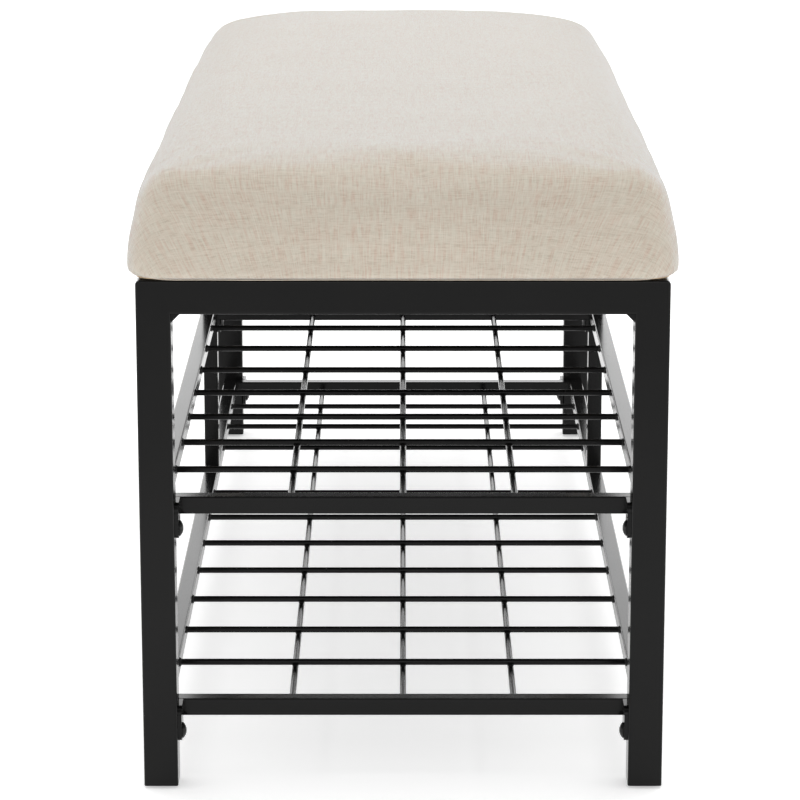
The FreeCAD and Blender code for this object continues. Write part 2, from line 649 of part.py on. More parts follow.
def seat_fixings():
    """Bolts up through the seat rails into tee nuts in the board."""
    bolts, nuts = [], []
    barrel = "(board_thickness - tee_flange_height)"
    for number, (x, y) in enumerate(seat_bolt_spots(), start=1):
        screw = bolt(f"seat_bolt_{number}", "bolt_radius", "(leg_tube + hem_thickness + seat_bolt_grip)")
        bolts.append(place(screw, x, y, SEAT_RAIL_BOTTOM, UPSIDE_DOWN))
        solid = boolean("Part::Fuse", f"tee_nut_{number}_solid",
                        cylinder(f"tee_nut_{number}_flange", "tee_nut_flange", "tee_flange_height", z=barrel),
                        cylinder(f"tee_nut_{number}_barrel", "tee_nut_radius", barrel))
        thread = cylinder(f"tee_nut_{number}_thread", "(bolt_radius + thread_clearance)", "board_thickness")
        nut = boolean("Part::Cut", f"tee_nut_{number}", solid, thread)
        nuts.append(place(nut, x, y, "frame_height + hem_thickness"))
    keep_group("seat_bolts", bolts)
    keep_group("seat_tee_nuts", nuts)


def build():
    """Make every sub-part of the bench."""
    for end, side in CORNERS:
        leg(end, side)
        corner_weld(end, side)
        glide(end, side)
    for end in (NEAR, FAR):
        end_rail(end)
        brace(end)
    for side in (LEFT, RIGHT):
        seat_rail(side)
        post(side)
    shelf("lower", LOWER_FAR_X, "lower_height", "lower_first_wire")
    shelf("upper", UPPER_FAR_X, "upper_height", "upper_first_wire")
    post_fixings()
    seat_board()
    seat_foam()
    seat_cover()
    dust_cover()
    seat_fixings()


def check():
    """Stop if any object failed or any sub-part has no valid shape."""
    failed = [thing.Name for thing in doc.Objects if {"Invalid", "Error"} & set(thing.State)]
    if failed:
        raise RuntimeError(f"failed objects: {failed}")
    for label, thing in nodes.items():
        if thing.Shape.isNull() or not thing.Shape.isValid() or not thing.Shape.Solids:
            raise RuntimeError(f"{label} has no valid shape")


build()
doc.recompute()
check()
os.makedirs("parts", exist_ok=True)
for label, thing in nodes.items():
    thing.Shape.exportStep(f"parts/{label}.step")
print(f"{len(nodes)} sub-parts written")
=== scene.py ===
import json
import math
import random

import bmesh
import bpy
import numpy as np
from mathutils import Matrix, Vector
from mathutils.noise import noise as smooth_noise


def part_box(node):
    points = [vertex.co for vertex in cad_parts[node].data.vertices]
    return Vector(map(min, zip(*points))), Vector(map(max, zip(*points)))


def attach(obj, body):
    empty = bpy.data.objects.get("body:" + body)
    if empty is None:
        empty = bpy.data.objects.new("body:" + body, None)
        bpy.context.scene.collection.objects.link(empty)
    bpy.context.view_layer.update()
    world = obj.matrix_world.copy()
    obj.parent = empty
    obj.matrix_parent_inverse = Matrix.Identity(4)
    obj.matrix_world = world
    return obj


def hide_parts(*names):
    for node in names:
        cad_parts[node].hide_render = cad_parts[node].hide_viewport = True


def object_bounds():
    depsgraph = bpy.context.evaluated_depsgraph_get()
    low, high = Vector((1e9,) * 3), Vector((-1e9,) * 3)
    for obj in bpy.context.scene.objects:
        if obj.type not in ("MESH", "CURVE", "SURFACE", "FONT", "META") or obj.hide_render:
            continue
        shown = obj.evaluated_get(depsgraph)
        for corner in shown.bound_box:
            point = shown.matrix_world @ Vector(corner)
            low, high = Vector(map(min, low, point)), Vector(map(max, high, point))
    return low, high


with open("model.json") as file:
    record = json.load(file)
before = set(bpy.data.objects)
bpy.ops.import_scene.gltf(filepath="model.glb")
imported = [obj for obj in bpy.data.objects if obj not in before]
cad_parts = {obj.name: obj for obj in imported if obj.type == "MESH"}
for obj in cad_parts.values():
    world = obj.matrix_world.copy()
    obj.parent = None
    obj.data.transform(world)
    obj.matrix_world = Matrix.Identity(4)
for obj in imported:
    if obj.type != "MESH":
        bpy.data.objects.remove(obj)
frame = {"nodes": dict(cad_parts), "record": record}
cad_low, cad_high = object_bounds()

# Entryway bench. X runs along it with the near end at +X, Y across it, Z up, in metres.

NEAR, FAR = 1, -1
LEFT, RIGHT = -1, 1

# Camera: a long lens in front of the near end, looking a little down.
CAMERA_GAP = 2.3871  # near legs to the lens
CAMERA_HEIGHT = 0.8817
CAMERA_TILT = math.radians(13.73)
LENS = 152.48
SIDE_SHIFT = -0.0037

# Cushion.
CORNER = 0.029  # rounding in plan
SHOULDER_WIDTH = 0.026  # rounding of the top edge
DRAFT = 0.0095  # how far the sides lean in at the top
CORNER_PULL = 0.006  # and the corners, where the cover is gathered
EDGE_ZONE = 0.15  # width of the border that leans in
DROOP_ZONE = 0.11  # and of the border that droops
FOOT = 0.005  # rounding of the bottom edge
SIDE_SLACK = 0.0010  # room the filling takes up when it swells
TOP_SWELL = 0.003
CROWN = 0.002
LEAN = 0.0065  # the filling is a little fuller at the near end
FAR_SAG = 0.0065  # and has settled at the far end
FAR_DROOP = 0.010  # the far end's edges are softer
CORNER_DROOP = 0.004
GRIP = 0.012  # height up to which the board's edge holds the cover
GRIP_FADE = 0.008  # and over which it lets go
FOOT_BLEND = 0.040  # height at which the filling alone gives the shape
SURFACE_DEPTH = 0.002  # how far in a point can be and still be on the side
VOXEL = 0.006
SWELL_CAP = 0.007  # furthest that the filling pushes the cover
PRESSURE = 0.6
STRETCH = 30
STIFFNESS = 2.0
SIM_FRAMES = 20
DENT, RIPPLE, TOP_DENT = 0.0012, 0.0005, 0.0014
DENTS_TO_METRE = 9.0
RIPPLE_PITCH = (26, 26, 8)  # ripples to the metre along each axis
FOLD_START, FOLD_ZONE = 0.004, 0.05  # where the side's folds fade out, from the outline
HEM = 0.0006  # cover turned under the board
THREAD = 0.0009  # between the weave's threads
SLUB_WIDE = 950.0  # thick and thin places to the metre, across the threads
WARP_SLUB, WEFT_SLUB = 66.0, 110.0  # and along them
BAND_WIDE, BAND_LONG = 300.0, 14.0  # the same for bands of several threads

# Studio.
FLOOR_SIZE = 120
FLOOR_GLOW = 0.42
GLOW_START, GLOW_END = 0.6, 2.6  # where the floor's glow fades, ahead of the bench
FAR_GLOW = 0.22  # share of the glow that is left
SKY = 2.5
OVERHEAD = 46
FRONT = 16
CAMERA_REACH = 200

RNG = random.Random(7)


# Mesh tools.

def start_clean():
    """Leave nothing selected and no edit mode."""
    if bpy.context.object and bpy.context.object.mode != "OBJECT":
        bpy.ops.object.mode_set(mode="OBJECT")
    bpy.ops.object.select_all(action="DESELECT")


def pick(piece):
    """Select one piece and nothing else."""
    start_clean()
    piece.select_set(True)
    bpy.context.view_layer.objects.active = piece


def settle(piece):
    """Put the piece's place, turn and size into its mesh."""
    pick(piece)
    bpy.ops.object.transform_apply(location=True, rotation=True, scale=True)
    return piece


def added(name):
    """The primitive that was just added, renamed."""
    piece = bpy.context.object
    piece.name = name
    piece.data.name = name
    return piece


def box(name, low, high):
    """A box between two corners."""
    start_clean()
    low, high = Vector(low), Vector(high)
    bpy.ops.mesh.primitive_cube_add(size=1, location=(low + high) / 2, scale=high - low)
    return settle(added(name))


def choose(piece, kind, test):
    """In edit mode, select only the edges or faces for which test(element) is true."""
    bpy.ops.mesh.select_mode(type=kind)
    bpy.ops.mesh.select_all(action="DESELECT")
    grid = bmesh.from_edit_mesh(piece.data)
    for item in grid.edges if kind == "EDGE" else grid.faces:
        item.select_set(bool(test(item)))
    grid.select_flush_mode()
    bmesh.update_edit_mesh(piece.data)


def edit(piece):
    """Open a piece in edit mode."""
    pick(piece)
    bpy.ops.object.mode_set(mode="EDIT")


def close(piece):
    """Leave edit mode."""
    bpy.ops.object.mode_set(mode="OBJECT")
    return piece


def modify(piece, kind, **settings):
    """Add a modifier with its settings and apply it."""
    pick(piece)
    modifier = piece.modifiers.new(kind.lower(), kind)
    for name, value in settings.items():
        setattr(modifier, name, value)
    bpy.ops.object.modifier_apply(modifier=modifier.name)
    return piece


def smooth(piece, angle=40):
    """Shade smooth, with the sharp edges kept."""
    pick(piece)
    bpy.ops.object.shade_smooth_by_angle(angle=math.radians(angle))
    return piece


def copy_to(model, name, matrix):
    """A copy of a small piece with its own mesh, placed by a matrix."""
    piece = bpy.data.objects.new(name, model.data.copy())
    bpy.context.scene.collection.objects.link(piece)
    piece.data.transform(matrix)
    return piece


def join(name, pieces):
    """Several pieces as one object."""
    start_clean()
    for piece in pieces:
        piece.select_set(True)
    bpy.context.view_layer.objects.active = pieces[0]
    bpy.ops.object.join()
    return added(name)


def points_of(piece):
    """The piece's points as an array."""
    flat = np.zeros(len(piece.data.vertices) * 3)
    piece.data.vertices.foreach_get("co", flat)
    return flat.reshape(-1, 3)


def set_points(piece, points):
    """Move the piece's points."""
    piece.data.vertices.foreach_set("co", points.ravel())
    piece.data.update()


def finish_piece(piece, material):
    """Give a piece its material and slot, and ride it on the bench."""
    piece.data.materials.clear()
    piece.data.materials.append(material)
    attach(piece, "root")
    return piece


# Materials.

class Signal:
    """A shader socket that works in sums like a number."""

    def __init__(self, finish, socket):
        self.finish = finish
        self.socket = socket

    def sum(self, operation, first, second=0.0):
        node = self.finish.node("ShaderNodeMath", {"operation": operation}, {0: first, 1: second})
        return node.out(0)

    def __add__(self, other):
        return self.sum("ADD", self, other)

    def __radd__(self, other):
        return self.sum("ADD", other, self)

    def __sub__(self, other):
        return self.sum("SUBTRACT", self, other)

    def __rsub__(self, other):
        return self.sum("SUBTRACT", other, self)

    def __mul__(self, other):
        return self.sum("MULTIPLY", self, other)

    def __rmul__(self, other):
        return self.sum("MULTIPLY", other, self)

    def sine(self):
        return self.sum("SINE", self)

    def size(self):
        return self.sum("ABSOLUTE", self)


class Built:
    """A shader node whose outputs are given as signals."""

    def __init__(self, finish, node):
        self.finish = finish
        self.node = node

    def out(self, key):
        return Signal(self.finish, self.node.outputs[key])


class Nodes:
    """The nodes of one shader tree."""

    def __init__(self, owner):
        owner.use_nodes = True
        self.tree = owner.node_tree
        self.tree.nodes.clear()

    def node(self, kind, settings, inputs):
        """A node of one kind: its settings first, then the values or links of its sockets."""
        node = self.tree.nodes.new(kind)
        for name, value in settings.items():
            if name == "stops":
                self.set_stops(node.color_ramp, value)
            else:
                setattr(node, name, value)
        for key, value in inputs.items():
            self.feed(node.inputs[key], value)
        return Built(self, node)

    def feed(self, socket, value):
        """Link a signal to a socket, or set the socket's value."""
        if isinstance(value, Signal):
            self.tree.links.new(value.socket, socket)
        else:
            socket.default_value = value

    def set_stops(self, ramp, stops):
        """Place a ramp's stops."""
        while len(ramp.elements) < len(stops):
            ramp.elements.new(1.0)
        for element, (place, colour) in zip(ramp.elements, stops):
            element.position = place
            element.color = colour if isinstance(colour, tuple) else (colour, colour, colour, 1)

    def place(self):
        """The point on the object, in metres."""
        return self.node("ShaderNodeTexCoord", {}, {}).out("Object")

    def stretched(self, vector, scale):
        """A point with its axes scaled."""
        return self.node("ShaderNodeMapping", {}, {"Vector": vector, "Scale": scale}).out("Vector")

    def noise(self, vector, scale, detail=2.0, roughness=0.5):
        """Soft noise from 0 to 1."""
        inputs = {"Vector": vector, "Scale": scale, "Detail": detail, "Roughness": roughness}
        return self.node("ShaderNodeTexNoise", {}, inputs).out("Fac")

    def ramp(self, factor, stops):
        """A signal through a ramp of colours or grey levels."""
        return self.node("ShaderNodeValToRGB", {"stops": stops}, {"Fac": factor}).out("Color")

    def mix(self, factor, first, second, blend="MIX"):
        """Two colours mixed."""
        settings = {"data_type": "RGBA", "blend_type": blend}
        return self.node("ShaderNodeMix", settings, {0: factor, 6: first, 7: second}).out(2)


class Finish(Nodes):
    """One material on the standard surface shader."""

    def __init__(self, name, **constants):
        self.material = bpy.data.materials.new(name)
        super().__init__(self.material)
        self.surface = self.node("ShaderNodeBsdfPrincipled", {}, constants)
        self.node("ShaderNodeOutputMaterial", {}, {"Surface": self.surface.out("BSDF")})

    def surface_input(self, name, value):
        self.feed(self.surface.node.inputs[name], value)

    def bump(self, height, distance, strength=1.0):
        """Raise the surface by a height signal."""
        inputs = {"Height": height, "Distance": distance, "Strength": strength}
        self.surface_input("Normal", self.node("ShaderNodeBump", {}, inputs).out("Normal"))


def colour(red, green, blue):
    """A colour with full alpha."""
    return (red, green, blue, 1.0)


def powder_coat(name, base, roughness, peel, wear):
    """Satin black powder coat: a fine orange peel, faint dust, and a few rubbed spots."""
    finish = Finish(name, **{"IOR": 1.5, "Specular IOR Level": 0.18})
    point = finish.place()
    dust = finish.noise(point, 14.0, 4.0, 0.6)
    rubs = finish.noise(finish.stretched(point, (3.0, 3.0, 1.0)), 60.0, 3.0, 0.7)
    rubbed = finish.ramp(rubs, [(0.0, 0.0), (0.66, 0.0), (0.78, 1.0)])
    dusted = finish.ramp(dust, [(0.35, 0.0), (0.75, 1.0)])
    clean, dusty = colour(base, base, base * 0.98), colour(base * 1.5, base * 1.48, base * 1.42)
    tint = finish.mix(dusted, clean, dusty)
    tint = finish.mix(finish.mix(wear, colour(0, 0, 0), rubbed), tint, colour(0.05, 0.05, 0.048))
    finish.surface_input("Base Color", tint)
    grain = finish.noise(point, 900.0, 2.0, 0.5)
    finish.surface_input("Roughness", roughness + 0.06 * (dust - 0.5) + 0.04 * (grain - 0.5))
    peel_height = finish.noise(point, 420.0, 3.0, 0.55)
    finish.bump(peel_height, peel)
    return finish.material


def zinc(name):
    """Zinc-plated steel with a faint rainbow of passivation."""
    finish = Finish(name, **{"Metallic": 1.0})
    cloud = finish.noise(finish.place(), 90.0, 4.0, 0.6)
    grey, straw, blue = colour(0.50, 0.50, 0.48), colour(0.60, 0.58, 0.50), colour(0.52, 0.55, 0.58)
    finish.surface_input("Base Color", finish.ramp(cloud, [(0.3, grey), (0.5, straw), (0.7, blue)]))
    finish.surface_input("Roughness", 0.30 + 0.15 * cloud)
    finish.bump(finish.noise(finish.place(), 1500.0, 2.0), 0.00003)
    return finish.material


def moulded(name):
    """Black moulded plastic with a fine spark-eroded grain."""
    finish = Finish(name, **{"IOR": 1.46})
    point = finish.place()
    scuff = finish.noise(point, 220.0, 4.0, 0.7)
    clean, scuffed = colour(0.012, 0.012, 0.012), colour(0.03, 0.03, 0.03)
    finish.surface_input("Base Color", finish.mix(scuff, clean, scuffed))
    finish.surface_input("Roughness", 0.55 + 0.2 * scuff)
    finish.bump(finish.noise(point, 2600.0, 2.0), 0.00006)
    return finish.material


def plywood(name):
    """Birch plywood: flat grain on the faces and glued plies on the edges."""
    finish = Finish(name, **{"Roughness": 0.62})
    point = finish.place()
    grain = finish.noise(finish.stretched(point, (2.0, 60.0, 8.0)), 6.0, 6.0, 0.6)
    dark, plain, light = colour(0.47, 0.33, 0.19), colour(0.62, 0.47, 0.30), colour(0.70, 0.56, 0.38)
    face = finish.ramp(grain, [(0.3, dark), (0.55, plain), (0.8, light)])
    plies = finish.node("ShaderNodeTexWave", {"bands_direction": "Z"}, {"Vector": point, "Scale": 210.0})
    tint = finish.mix(0.25 * plies.out("Fac"), face, colour(0.30, 0.19, 0.10))
    finish.surface_input("Base Color", tint)
    finish.bump(grain, 0.0002)
    return finish.material


def foam(name):
    """Cut upholstery foam with open cells, painted darker in their pits as painted shade."""
    finish = Finish(name, **{"Roughness": 0.95})
    bubbles = finish.node("ShaderNodeTexVoronoi", {}, {"Vector": finish.place(), "Scale": 900.0})
    cells = bubbles.out("Distance")
    # Painted shade: the colour darkens towards each cell's pit, where the bump sinks lowest.
    tint = finish.mix(cells, colour(0.62, 0.56, 0.40), colour(0.86, 0.82, 0.68))
    finish.surface_input("Base Color", tint)
    finish.bump(cells, 0.0006)
    return finish.material


def dust_cloth(name):
    """Black spun-bonded cloth with its pressed pattern of small points."""
    finish = Finish(name, **{"Roughness": 0.9, "Sheen Weight": 0.2})
    point = finish.place()
    fibre = finish.noise(finish.stretched(point, (1.0, 2.5, 1.0)), 700.0, 4.0, 0.7)
    dots = finish.node("ShaderNodeTexVoronoi", {}, {"Vector": point, "Scale": 420.0, "Randomness": 0.15})
    pressed = finish.ramp(dots.out("Distance"), [(0.15, 1.0), (0.3, 0.0)])
    tint = finish.mix(fibre, colour(0.012, 0.012, 0.013), colour(0.045, 0.045, 0.047))
    finish.surface_input("Base Color", finish.mix(pressed, tint, colour(0.008, 0.008, 0.008)))
    finish.bump(fibre - 0.6 * pressed, 0.00025)
    return finish.material


def linen(name):
    """Cream linen-look plain weave with slubs both ways. It follows the cover's own weave map."""
    finish = Finish(name, **{"Sheen Weight": 0.7, "Sheen Roughness": 0.35,
                             "Sheen Tint": colour(0.78, 0.88, 1.0), "Specular IOR Level": 0.2})
    weave = finish.node("ShaderNodeUVMap", {"uv_map": "weave"}, {}).out("UV")
    warp_slub = finish.noise(finish.stretched(weave, (SLUB_WIDE, WARP_SLUB, 1.0)), 1.0, 2.0, 0.65)
    weft_slub = finish.noise(finish.stretched(weave, (WEFT_SLUB, SLUB_WIDE, 1.0)), 1.0, 2.0, 0.65)
    warp_band = finish.noise(finish.stretched(weave, (BAND_WIDE, BAND_LONG, 1.0)), 1.0, 3.0, 0.6)
    weft_band = finish.noise(finish.stretched(weave, (BAND_LONG, BAND_WIDE, 1.0)), 1.0, 3.0, 0.6)
    split = finish.node("ShaderNodeSeparateXYZ", {}, {"Vector": weave})
    turn = 2 * math.pi / THREAD
    over = ((split.out("X") * turn).sine() * (split.out("Y") * turn).sine()).size()
    warp = 0.7 * warp_slub + 0.3 * warp_band
    weft = 0.7 * weft_slub + 0.3 * weft_band
    rosy, greenish, cream = colour(0.61, 0.465, 0.375), colour(0.50, 0.515, 0.42), colour(0.70, 0.635, 0.545)
    worn, shadow = colour(0.455, 0.365, 0.29), colour(0.38, 0.31, 0.24)
    tone = finish.ramp(warp, [(0.38, rosy), (0.62, greenish)])
    pale = finish.ramp(0.45 * weft + 0.55 * warp, [(0.40, 0.0), (0.62, 1.0)])
    tint = finish.mix(pale, tone, cream)
    thin = finish.ramp(0.4 * warp + 0.6 * weft, [(0.36, 0.6), (0.48, 0.0)])
    tint = finish.mix(thin, tint, worn)
    tint = finish.mix(0.2 * (1.0 - over), tint, shadow)
    finish.surface_input("Base Color", tint)
    finish.surface_input("Roughness", 0.82 + 0.12 * warp_band)
    height = over * 0.4 + warp_slub * 0.8 + weft_slub * 0.8 + warp_band * 0.3 + weft_band * 0.3
    finish.bump(height, 0.00022)
    return finish.material


FINISHES = {
    "frame_paint": powder_coat("frame_paint", 0.003, 0.17, 0.000012, 0.05),
    "wire_paint": powder_coat("wire_paint", 0.003, 0.18, 0.00001, 0.08),
    "black_bolts": powder_coat("black_bolts", 0.006, 0.2, 0.00001, 0.2),
    "zinc_steel": zinc("zinc_steel"),
    "glide_plastic": moulded("glide_plastic"),
    "plywood": plywood("plywood"),
    "foam": foam("foam"),
    "linen": linen("linen"),
    "dust_cloth": dust_cloth("dust_cloth"),
}


def paint_frame():
    """Give every CAD node the finish of its slot."""
    slots = {part["node"]: part["material_slot"] for part in frame["record"]["subparts"]}
    for name, node in frame["nodes"].items():
        node.data.materials.clear()
        node.data.materials.append(FINISHES[slots[name]])


# Cushion: a form with soft shoulders, swelled by its filling, then given its folds and its weave.

COVER_LOW, COVER_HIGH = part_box("seat_cover")
HALF_LENGTH, HALF_WIDTH = COVER_HIGH.x, COVER_HIGH.y
SEAT_BOTTOM, SEAT_TOP = COVER_LOW.z, COVER_HIGH.z
FORM_TOP = SEAT_TOP - TOP_SWELL


def is_rim(level):
    """A test for the edges that lie at one height."""
    return lambda edge: all(abs(point.co.z - level) < 1e-5 for point in edge.verts)


def is_upright(edge):
    """A test for upright edges."""
    first, second = edge.verts
    return abs(first.co.z - second.co.z) > 1e-4 and (first.co.xy - second.co.xy).length < 1e-5


def cushion_form():
    """Block with rounded corners, wide soft shoulders and a tight foot."""
    low = Vector((-HALF_LENGTH + SIDE_SLACK, -HALF_WIDTH + SIDE_SLACK, SEAT_BOTTOM + HEM))
    high = Vector((HALF_LENGTH - SIDE_SLACK, HALF_WIDTH - SIDE_SLACK, FORM_TOP))
    piece = box("cushion", low, high)
    edit(piece)
    choose(piece, "EDGE", is_upright)
    bpy.ops.mesh.bevel(offset=CORNER, segments=8, affect="EDGES")
    choose(piece, "EDGE", is_rim(high.z))
    bpy.ops.mesh.bevel(offset=SHOULDER_WIDTH, segments=12, affect="EDGES")
    choose(piece, "EDGE", is_rim(low.z))
    bpy.ops.mesh.bevel(offset=FOOT, segments=3, affect="EDGES")
    return close(piece)


def inward(points, radius=CORNER):
    """How far each point is inside a rounded outline of the plan, and the way out from there."""
    inner = np.array([HALF_LENGTH - radius, HALF_WIDTH - radius])
    beyond = points[:, :2] - np.clip(points[:, :2], -inner, inner)
    reach = np.linalg.norm(beyond, axis=1)
    way = beyond / np.maximum(reach, 1e-9)[:, None]
    return radius - reach, way


def level_up(points):
    """0 at the cushion's foot and 1 at its top."""
    return np.clip((points[:, 2] - SEAT_BOTTOM - FOOT) / (SEAT_TOP - SEAT_BOTTOM - FOOT), 0, 1)


def trim_form(piece):
    """Crown the top, lean it, and soften its far end and its corners."""
    points = points_of(piece)
    along, across = points[:, 0] / HALF_LENGTH, points[:, 1] / HALF_WIDTH
    up = level_up(points)
    soft_depth, soft_way = inward(points, EDGE_ZONE)
    crown = CROWN * (1 - across ** 2) * (1 - along ** 4) - CROWN
    edge = np.clip(1 - soft_depth / DROOP_ZONE, 0, 1) ** 2
    droop = FAR_DROOP * np.clip(0.4 - 0.6 * along, 0, 1) * edge
    corner = CORNER_DROOP * np.abs(along * across) ** 3
    sag = FAR_SAG * np.clip(-along, 0, 1) ** 2
    points[:, 2] += up * (crown + LEAN * along - sag - droop - corner)
    near_side = np.clip(1 - soft_depth / EDGE_ZONE, 0, 1)
    gather = CORNER_PULL * np.abs(along * across) ** 6
    points[:, :2] -= soft_way * ((DRAFT * up ** 1.6 + gather * up) * near_side)[:, None]
    depth, way = inward(points)
    foot = np.clip((points[:, 2] - SEAT_BOTTOM - HEM) / FOOT, 0, 1)
    inset = FOOT * (1 - np.sqrt(1 - (1 - foot) ** 2))
    low = np.clip((FOOT_BLEND - (points[:, 2] - SEAT_BOTTOM)) / (FOOT_BLEND - GRIP), 0, 1)
    shift = np.where(depth < FOOT + SURFACE_DEPTH, depth - inset, 0) * low
    points[:, :2] += way * shift[:, None]
    set_points(piece, points)


def swell(piece):
    """Push the cover out with its filling, the board's edge held still, and no point far."""
    before = points_of(piece)
    held = piece.vertex_groups.new(name="held")
    grip = SEAT_BOTTOM + GRIP
    for index, point in enumerate(before):
        weight = min(1.0, max(0.0, 1.0 - (point[2] - grip) / GRIP_FADE))
        held.add([index], weight, "REPLACE")
    cloth = piece.modifiers.new("cloth", "CLOTH")
    cloth.settings.use_pressure = True
    cloth.settings.uniform_pressure_force = PRESSURE
    cloth.settings.effector_weights.gravity = 0
    cloth.settings.vertex_group_mass = held.name
    cloth.settings.tension_stiffness = STRETCH
    cloth.settings.compression_stiffness = STRETCH
    cloth.settings.bending_stiffness = STIFFNESS
    cloth.point_cache.frame_start = 1
    cloth.point_cache.frame_end = SIM_FRAMES
    for step in range(1, SIM_FRAMES + 1):
        bpy.context.scene.frame_set(step)
    pick(piece)
    bpy.ops.object.modifier_apply(modifier=cloth.name)
    bpy.context.scene.frame_set(1)
    move = points_of(piece) - before
    length = np.linalg.norm(move, axis=1)
    share = np.minimum(1, SWELL_CAP / np.maximum(length, 1e-9))
    set_points(piece, before + move * share[:, None])
    piece.vertex_groups.clear()


def add_folds(piece):
    """Dent and ripple the sides a little and dent the top faintly, as pulled cloth does."""
    points = points_of(piece)
    depth, way = inward(points, EDGE_ZONE)
    dents = np.array([smooth_noise(Vector(point) * DENTS_TO_METRE) for point in points])
    ripples = np.array([smooth_noise(Vector(point * RIPPLE_PITCH)) for point in points])
    side = np.clip(1 - (depth - FOLD_START) / FOLD_ZONE, 0, 1)
    level = np.clip(level_up(points) / 0.25, 0, 1)
    points[:, :2] += way * ((DENT * dents + RIPPLE * ripples) * level * side)[:, None]
    points[:, 2] += TOP_DENT * dents * (1 - side) * level
    set_points(piece, points)


def lay_weave(piece):
    """Unroll the cover: threads run straight across the top, over the shoulders and down."""
    points = points_of(piece)
    depth, way = inward(points, EDGE_ZONE)
    fall = np.clip(SEAT_TOP - points[:, 2], 0, None)
    over_shoulder = 0.6 * fall ** 2 / SHOULDER_WIDTH
    extra = np.where(fall > SHOULDER_WIDTH, fall - 0.4 * SHOULDER_WIDTH, over_shoulder)
    extra = extra * np.clip(1.4 - depth / 0.05, 0, 1)
    spread = points[:, :2] + way * extra[:, None]
    layer = piece.data.uv_layers.new(name="weave")
    corners = np.zeros(len(piece.data.loops), dtype=int)
    piece.data.loops.foreach_get("vertex_index", corners)
    threads = np.stack([spread[:, 1], spread[:, 0]], axis=1)
    layer.data.foreach_set("uv", threads[corners].ravel())


def build_cushion():
    """The whole cushion."""
    piece = cushion_form()
    modify(piece, "REMESH", mode="VOXEL", voxel_size=VOXEL)
    trim_form(piece)
    swell(piece)
    modify(piece, "SUBSURF", levels=1, render_levels=1)
    add_folds(piece)
    lay_weave(piece)
    smooth(piece, 180)
    finish_piece(piece, FINISHES["linen"])
    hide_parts("seat_cover", "seat_foam")


# Welds: a small collar where each wire meets a rail, and a bead where two wires cross.

COLLAR_WIDE, COLLAR_NARROW, COLLAR_HIGH = 0.0036, 0.0027, 0.0016
COLLAR_ROUND = 0.0006
BEAD = 0.0027
BEAD_FLAT = (1.0, 0.92, 0.55)
BEAD_STRAY = 0.0004

def wire_places(node):
    """Each wire of a group as its lowest and highest corner."""
    grid = bmesh.new()
    grid.from_mesh(frame["nodes"][node].data)
    bmesh.ops.remove_doubles(grid, verts=grid.verts, dist=1e-6)
    left = set(grid.verts)
    places = []
    while left:
        island, queue = set(), [left.pop()]
        while queue:
            point = queue.pop()
            island.add(point)
            for edge in point.link_edges:
                other = edge.other_vert(point)
                if other in left:
                    left.discard(other)
                    queue.append(other)
        low, high = (Vector([extreme(point.co[axis] for point in island) for axis in range(3)])
                     for extreme in (min, max))
        places.append((low, high))
    grid.free()
    return sorted(places, key=lambda place: (round(place[0].x, 4), round(place[0].y, 4)))


def weld_collar():
    """Collar of weld round a wire's end, its wide face on the rail, pointing up."""
    start_clean()
    bpy.ops.mesh.primitive_cone_add(vertices=14, radius1=COLLAR_WIDE, radius2=COLLAR_NARROW,
                                    depth=COLLAR_HIGH, location=(0, 0, COLLAR_HIGH / 2))
    piece = settle(added("weld_collar"))
    edit(piece)
    choose(piece, "EDGE", is_rim(COLLAR_HIGH))
    bpy.ops.mesh.bevel(offset=COLLAR_ROUND, segments=2, affect="EDGES")
    close(piece)
    return smooth(piece, 60)


def weld_bead():
    """Flat bead of weld between two crossing wires."""
    start_clean()
    bpy.ops.mesh.primitive_uv_sphere_add(segments=12, ring_count=8, radius=BEAD)
    piece = settle(added("weld_bead"))
    edit(piece)
    bpy.ops.mesh.select_all(action="SELECT")
    bpy.ops.transform.resize(value=BEAD_FLAT)
    close(piece)
    return smooth(piece, 180)


def turn_between(direction):
    """The turn that points a piece's own Z along a direction."""
    return Vector(direction).to_track_quat("Z", "Y").to_matrix().to_4x4()


def weld_shelf(level, collar, bead):
    """All the welds of one shelf's wires."""
    cross, long = wire_places(f"{level}_cross_wires"), wire_places(f"{level}_long_wires")
    parts = []
    for low, high in cross:
        middle = (low + high) / 2
        for side in (LEFT, RIGHT):
            y = high.y if side == RIGHT else low.y
            wide, deep, high_share = RNG.uniform(0.9, 1.15), RNG.uniform(0.9, 1.15), RNG.uniform(0.8, 1.2)
            size = Matrix.Diagonal((wide, deep, high_share, 1))
            spot = Matrix.Translation((middle.x, y, middle.z)) @ turn_between((0, -side, 0)) @ size
            parts.append(copy_to(collar, "collar", spot))
        for long_low, long_high in long:
            y = (long_low.y + long_high.y) / 2
            z = (long_high.z + low.z) / 2
            spot = Matrix.Translation((middle.x + RNG.uniform(-BEAD_STRAY, BEAD_STRAY), y, z))
            parts.append(copy_to(bead, "bead", spot))
    for low, high in long:
        middle = (low + high) / 2
        for end in (NEAR, FAR):
            x = high.x if end == NEAR else low.x
            spot = Matrix.Translation((x, middle.y, middle.z)) @ turn_between((-end, 0, 0))
            parts.append(copy_to(collar, "collar", spot))
    piece = join(f"{level}_wire_welds", parts)
    return finish_piece(piece, FINISHES["wire_paint"])


def build_welds():
    """The welds of both shelves."""
    collar, bead = weld_collar(), weld_bead()
    for level in ("lower", "upper"):
        weld_shelf(level, collar, bead)
    for model in (collar, bead):
        bpy.data.objects.remove(model)


# Underside of the seat: the turned-under hem, the dust cover and their staples.

HEM_EDGE = FOOT + 0.0005  # how far the flat of the hem starts inside the cover
HEM_INNER_WIDTH = 0.155
HEM_CORNER = 0.030
HEM_RIPPLE = 0.0002
DUST_LOW, DUST_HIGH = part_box("dust_cover")
DUST_PULL, DUST_SLACK = 0.00022, 0.00025
STAPLE_PITCH = 0.085
STAPLE_IN = 0.006  # from the dust cover's edge
STAPLE_HALF, STAPLE_WIRE, STAPLE_BEND = 0.005, 0.0012, 0.0008


